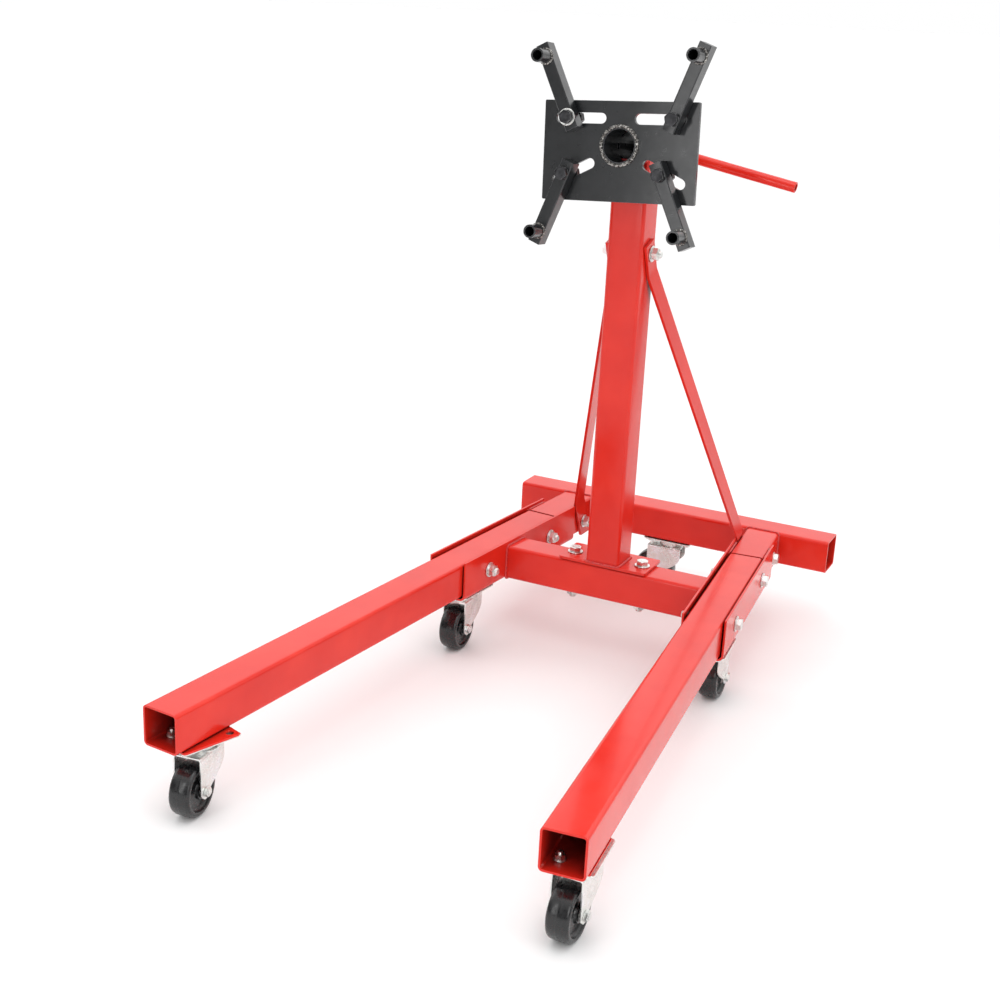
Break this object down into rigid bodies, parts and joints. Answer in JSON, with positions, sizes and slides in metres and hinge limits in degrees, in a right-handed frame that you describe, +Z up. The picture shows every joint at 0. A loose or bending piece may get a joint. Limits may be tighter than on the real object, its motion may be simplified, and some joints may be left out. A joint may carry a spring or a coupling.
{
  "type": "folding engine stand",
  "caption": "Folding engine stand: splayed legs on swivel casters, a braced post and a turning head plate with four adjustable arms that bolt to an engine.",
  "frame": {"origin": "on the floor, under the middle of the bounding box, on the stand's middle plane", "axes": "+Z up; -Y forward, the way the legs and the head plate point; +X to the right of someone facing the head plate"},
  "size_m": [0.648, 1.1976, 1.0286],
  "materials": {
    "red_gloss_paint": "gloss",
    "black_satin_paint": "satin",
    "zinc_plating": "bright zinc plated",
    "black_oxide": "black oxide",
    "black_plastic": "gloss black moulded"
  },
  "bodies": {
    "stand_frame": {"rear_crossbar": "red_gloss_paint", "stub_left": "red_gloss_paint", "stub_right": "red_gloss_paint", "channel_left": "red_gloss_paint", "channel_right": "red_gloss_paint", "front_crossbar": "red_gloss_paint", "base_plate": "red_gloss_paint", "post": "red_gloss_paint", "brace_left": "red_gloss_paint", "brace_right": "red_gloss_paint", "head_sleeve": "red_gloss_paint", "leg_pivot_bolt_left": "zinc_plating", "leg_pivot_bolt_right": "zinc_plating", "leg_lock_bolt_left": "zinc_plating", "leg_lock_bolt_right": "zinc_plating", "brace_top_bolt": "zinc_plating", "brace_lower_bolt_left": "zinc_plating", "brace_lower_bolt_right": "zinc_plating", "base_bolt_left": "zinc_plating", "base_bolt_right": "zinc_plating", "middle_caster_left_top_plate": "zinc_plating", "middle_caster_right_top_plate": "zinc_plating", "rear_caster_top_plate": "zinc_plating"},
    "left_leg": {"leg_left": "red_gloss_paint", "caster_plate_left": "red_gloss_paint", "front_caster_left_top_plate": "zinc_plating"},
    "right_leg": {"leg_right": "red_gloss_paint", "caster_plate_right": "red_gloss_paint", "front_caster_right_top_plate": "zinc_plating"},
    "turning_head": {"head_plate": "black_satin_paint", "head_tube": "black_satin_paint"},
    "turning_handle": {"handle": "red_gloss_paint"},
    "index_pin": {"lock_pin": "zinc_plating"},
    "clamp_upper_left": {"arm_bolt_upper_left": "black_oxide"},
    "arm_upper_left": {"arm_upper_left": "black_satin_paint", "standoff_upper_left": "black_satin_paint"},
    "clamp_upper_right": {"arm_bolt_upper_right": "black_oxide"},
    "arm_upper_right": {"arm_upper_right": "black_satin_paint", "standoff_upper_right": "black_satin_paint"},
    "clamp_lower_right": {"arm_bolt_lower_right": "black_oxide"},
    "arm_lower_right": {"arm_lower_right": "black_satin_paint", "standoff_lower_right": "black_satin_paint"},
    "clamp_lower_left": {"arm_bolt_lower_left": "black_oxide"},
    "arm_lower_left": {"arm_lower_left": "black_satin_paint", "standoff_lower_left": "black_satin_paint"},
    "front_caster_left_fork": {"front_caster_left_fork": "zinc_plating", "front_caster_left_axle": "zinc_plating"},
    "front_caster_left_wheel": {"front_caster_left_wheel": "black_plastic"},
    "front_caster_right_fork": {"front_caster_right_fork": "zinc_plating", "front_caster_right_axle": "zinc_plating"},
    "front_caster_right_wheel": {"front_caster_right_wheel": "black_plastic"},
    "middle_caster_left_fork": {"middle_caster_left_fork": "zinc_plating", "middle_caster_left_axle": "zinc_plating"},
    "middle_caster_left_wheel": {"middle_caster_left_wheel": "black_plastic"},
    "middle_caster_right_fork": {"middle_caster_right_fork": "zinc_plating", "middle_caster_right_axle": "zinc_plating"},
    "middle_caster_right_wheel": {"middle_caster_right_wheel": "black_plastic"},
    "rear_caster_fork": {"rear_caster_fork": "zinc_plating", "rear_caster_axle": "zinc_plating"},
    "rear_caster_wheel": {"rear_caster_wheel": "black_plastic"}
  },
  "joints": [
    {"name": "left_leg_fold", "type": "hinge", "parent": "stand_frame", "child": "left_leg", "pos_m": [-0.20053, 0.36829, 0.138], "axis": [-0.9954, 0.0958, 0], "range_deg": [0, 82]},
    {"name": "right_leg_fold", "type": "hinge", "parent": "stand_frame", "child": "right_leg", "pos_m": [0.20053, 0.36829, 0.138], "axis": [-0.9954, -0.0958, 0], "range_deg": [0, 82]},
    {"name": "head_turn", "type": "hinge", "parent": "stand_frame", "child": "turning_head", "pos_m": [0, 0.1607, 0.8688], "axis": [0, -0.9959, 0.0906], "continuous": true},
    {"name": "handle_slide", "type": "slide", "parent": "turning_head", "child": "turning_handle", "axis": [-0.9854, 0.0154, 0.1695], "range_m": [-0.03, 0.15]},
    {"name": "lock_pin_push", "type": "slide", "parent": "stand_frame", "child": "index_pin", "axis": [0.9984, 0.0051, 0.0556], "range_m": [0, 0.012]},
    {"name": "upper_left_arm_slide", "type": "slide", "parent": "turning_head", "child": "clamp_upper_left", "axis": [-0.9984, -0.0051, -0.0556], "range_m": [-0.0386, 0.0229]},
    {"name": "upper_left_arm_swing", "type": "hinge", "parent": "clamp_upper_left", "child": "arm_upper_left", "pos_m": [-0.07851, 0.16393, 0.90433], "axis": [0, -0.9959, 0.0906], "range_deg": [-24, 72]},
    {"name": "upper_right_arm_slide", "type": "slide", "parent": "turning_head", "child": "clamp_upper_right", "axis": [0.9984, 0.0051, 0.0556], "range_m": [-0.0549, 0.0066]},
    {"name": "upper_right_arm_swing", "type": "hinge", "parent": "clamp_upper_right", "child": "arm_upper_right", "pos_m": [0.09032, 0.16479, 0.91373], "axis": [0, 0.9959, -0.0906], "range_deg": [-24, 72]},
    {"name": "lower_right_arm_slide", "type": "slide", "parent": "turning_head", "child": "clamp_lower_right", "axis": [0.9238, -0.0347, -0.3813], "range_m": [-0.0318, 0.0293]},
    {"name": "lower_right_arm_swing", "type": "hinge", "parent": "clamp_lower_right", "child": "arm_lower_right", "pos_m": [0.07799, 0.15734, 0.83185], "axis": [0, -0.9959, 0.0906], "range_deg": [-24, 72]},
    {"name": "lower_left_arm_slide", "type": "slide", "parent": "turning_head", "child": "clamp_lower_left", "axis": [-0.8754, -0.0438, -0.4814], "range_m": [-0.0363, 0.0247]},
    {"name": "lower_left_arm_swing", "type": "hinge", "parent": "clamp_lower_left", "child": "arm_lower_left", "pos_m": [-0.07736, 0.15638, 0.8213], "axis": [0, 0.9959, -0.0906], "range_deg": [-24, 72]},
    {"name": "front_caster_left_swivel", "type": "hinge", "parent": "left_leg", "child": "front_caster_left_fork", "pos_m": [-0.27584, -0.52806, 0], "axis": [0, 0, 1], "continuous": true},
    {"name": "front_caster_left_roll", "type": "hinge", "parent": "front_caster_left_fork", "child": "front_caster_left_wheel", "pos_m": [-0.27219, -0.55582, 0.039], "axis": [0.9914, 0.1305, 0], "continuous": true},
    {"name": "front_caster_right_swivel", "type": "hinge", "parent": "right_leg", "child": "front_caster_right_fork", "pos_m": [0.29034, -0.52806, 0], "axis": [0, 0, 1], "continuous": true},
    {"name": "front_caster_right_roll", "type": "hinge", "parent": "front_caster_right_fork", "child": "front_caster_right_wheel", "pos_m": [0.29034, -0.55606, 0.039], "axis": [1, 0, 0], "continuous": true},
    {"name": "middle_caster_left_swivel", "type": "hinge", "parent": "stand_frame", "child": "middle_caster_left_fork", "pos_m": [-0.22215, 0.14383, 0], "axis": [0, 0, 1], "continuous": true},
    {"name": "middle_caster_left_roll", "type": "hinge", "parent": "middle_caster_left_fork", "child": "middle_caster_left_wheel", "pos_m": [-0.22166, 0.11584, 0.039], "axis": [0.9998, 0.0175, 0], "continuous": true},
    {"name": "middle_caster_right_swivel", "type": "hinge", "parent": "stand_frame", "child": "middle_caster_right_fork", "pos_m": [0.22715, 0.14383, 0], "axis": [0, 0, 1], "continuous": true},
    {"name": "middle_caster_right_roll", "type": "hinge", "parent": "middle_caster_right_fork", "child": "middle_caster_right_wheel", "pos_m": [0.22617, 0.17181, 0.039], "axis": [-0.9994, -0.0349, 0], "continuous": true},
    {"name": "rear_caster_swivel", "type": "hinge", "parent": "stand_frame", "child": "rear_caster_fork", "pos_m": [0, 0.57, 0], "axis": [0, 0, 1], "continuous": true},
    {"name": "rear_caster_roll", "type": "hinge", "parent": "rear_caster_fork", "child": "rear_caster_wheel", "pos_m": [-0.02793, 0.56805, 0.039], "axis": [0.0698, -0.9976, 0], "continuous": true}
  ]
}
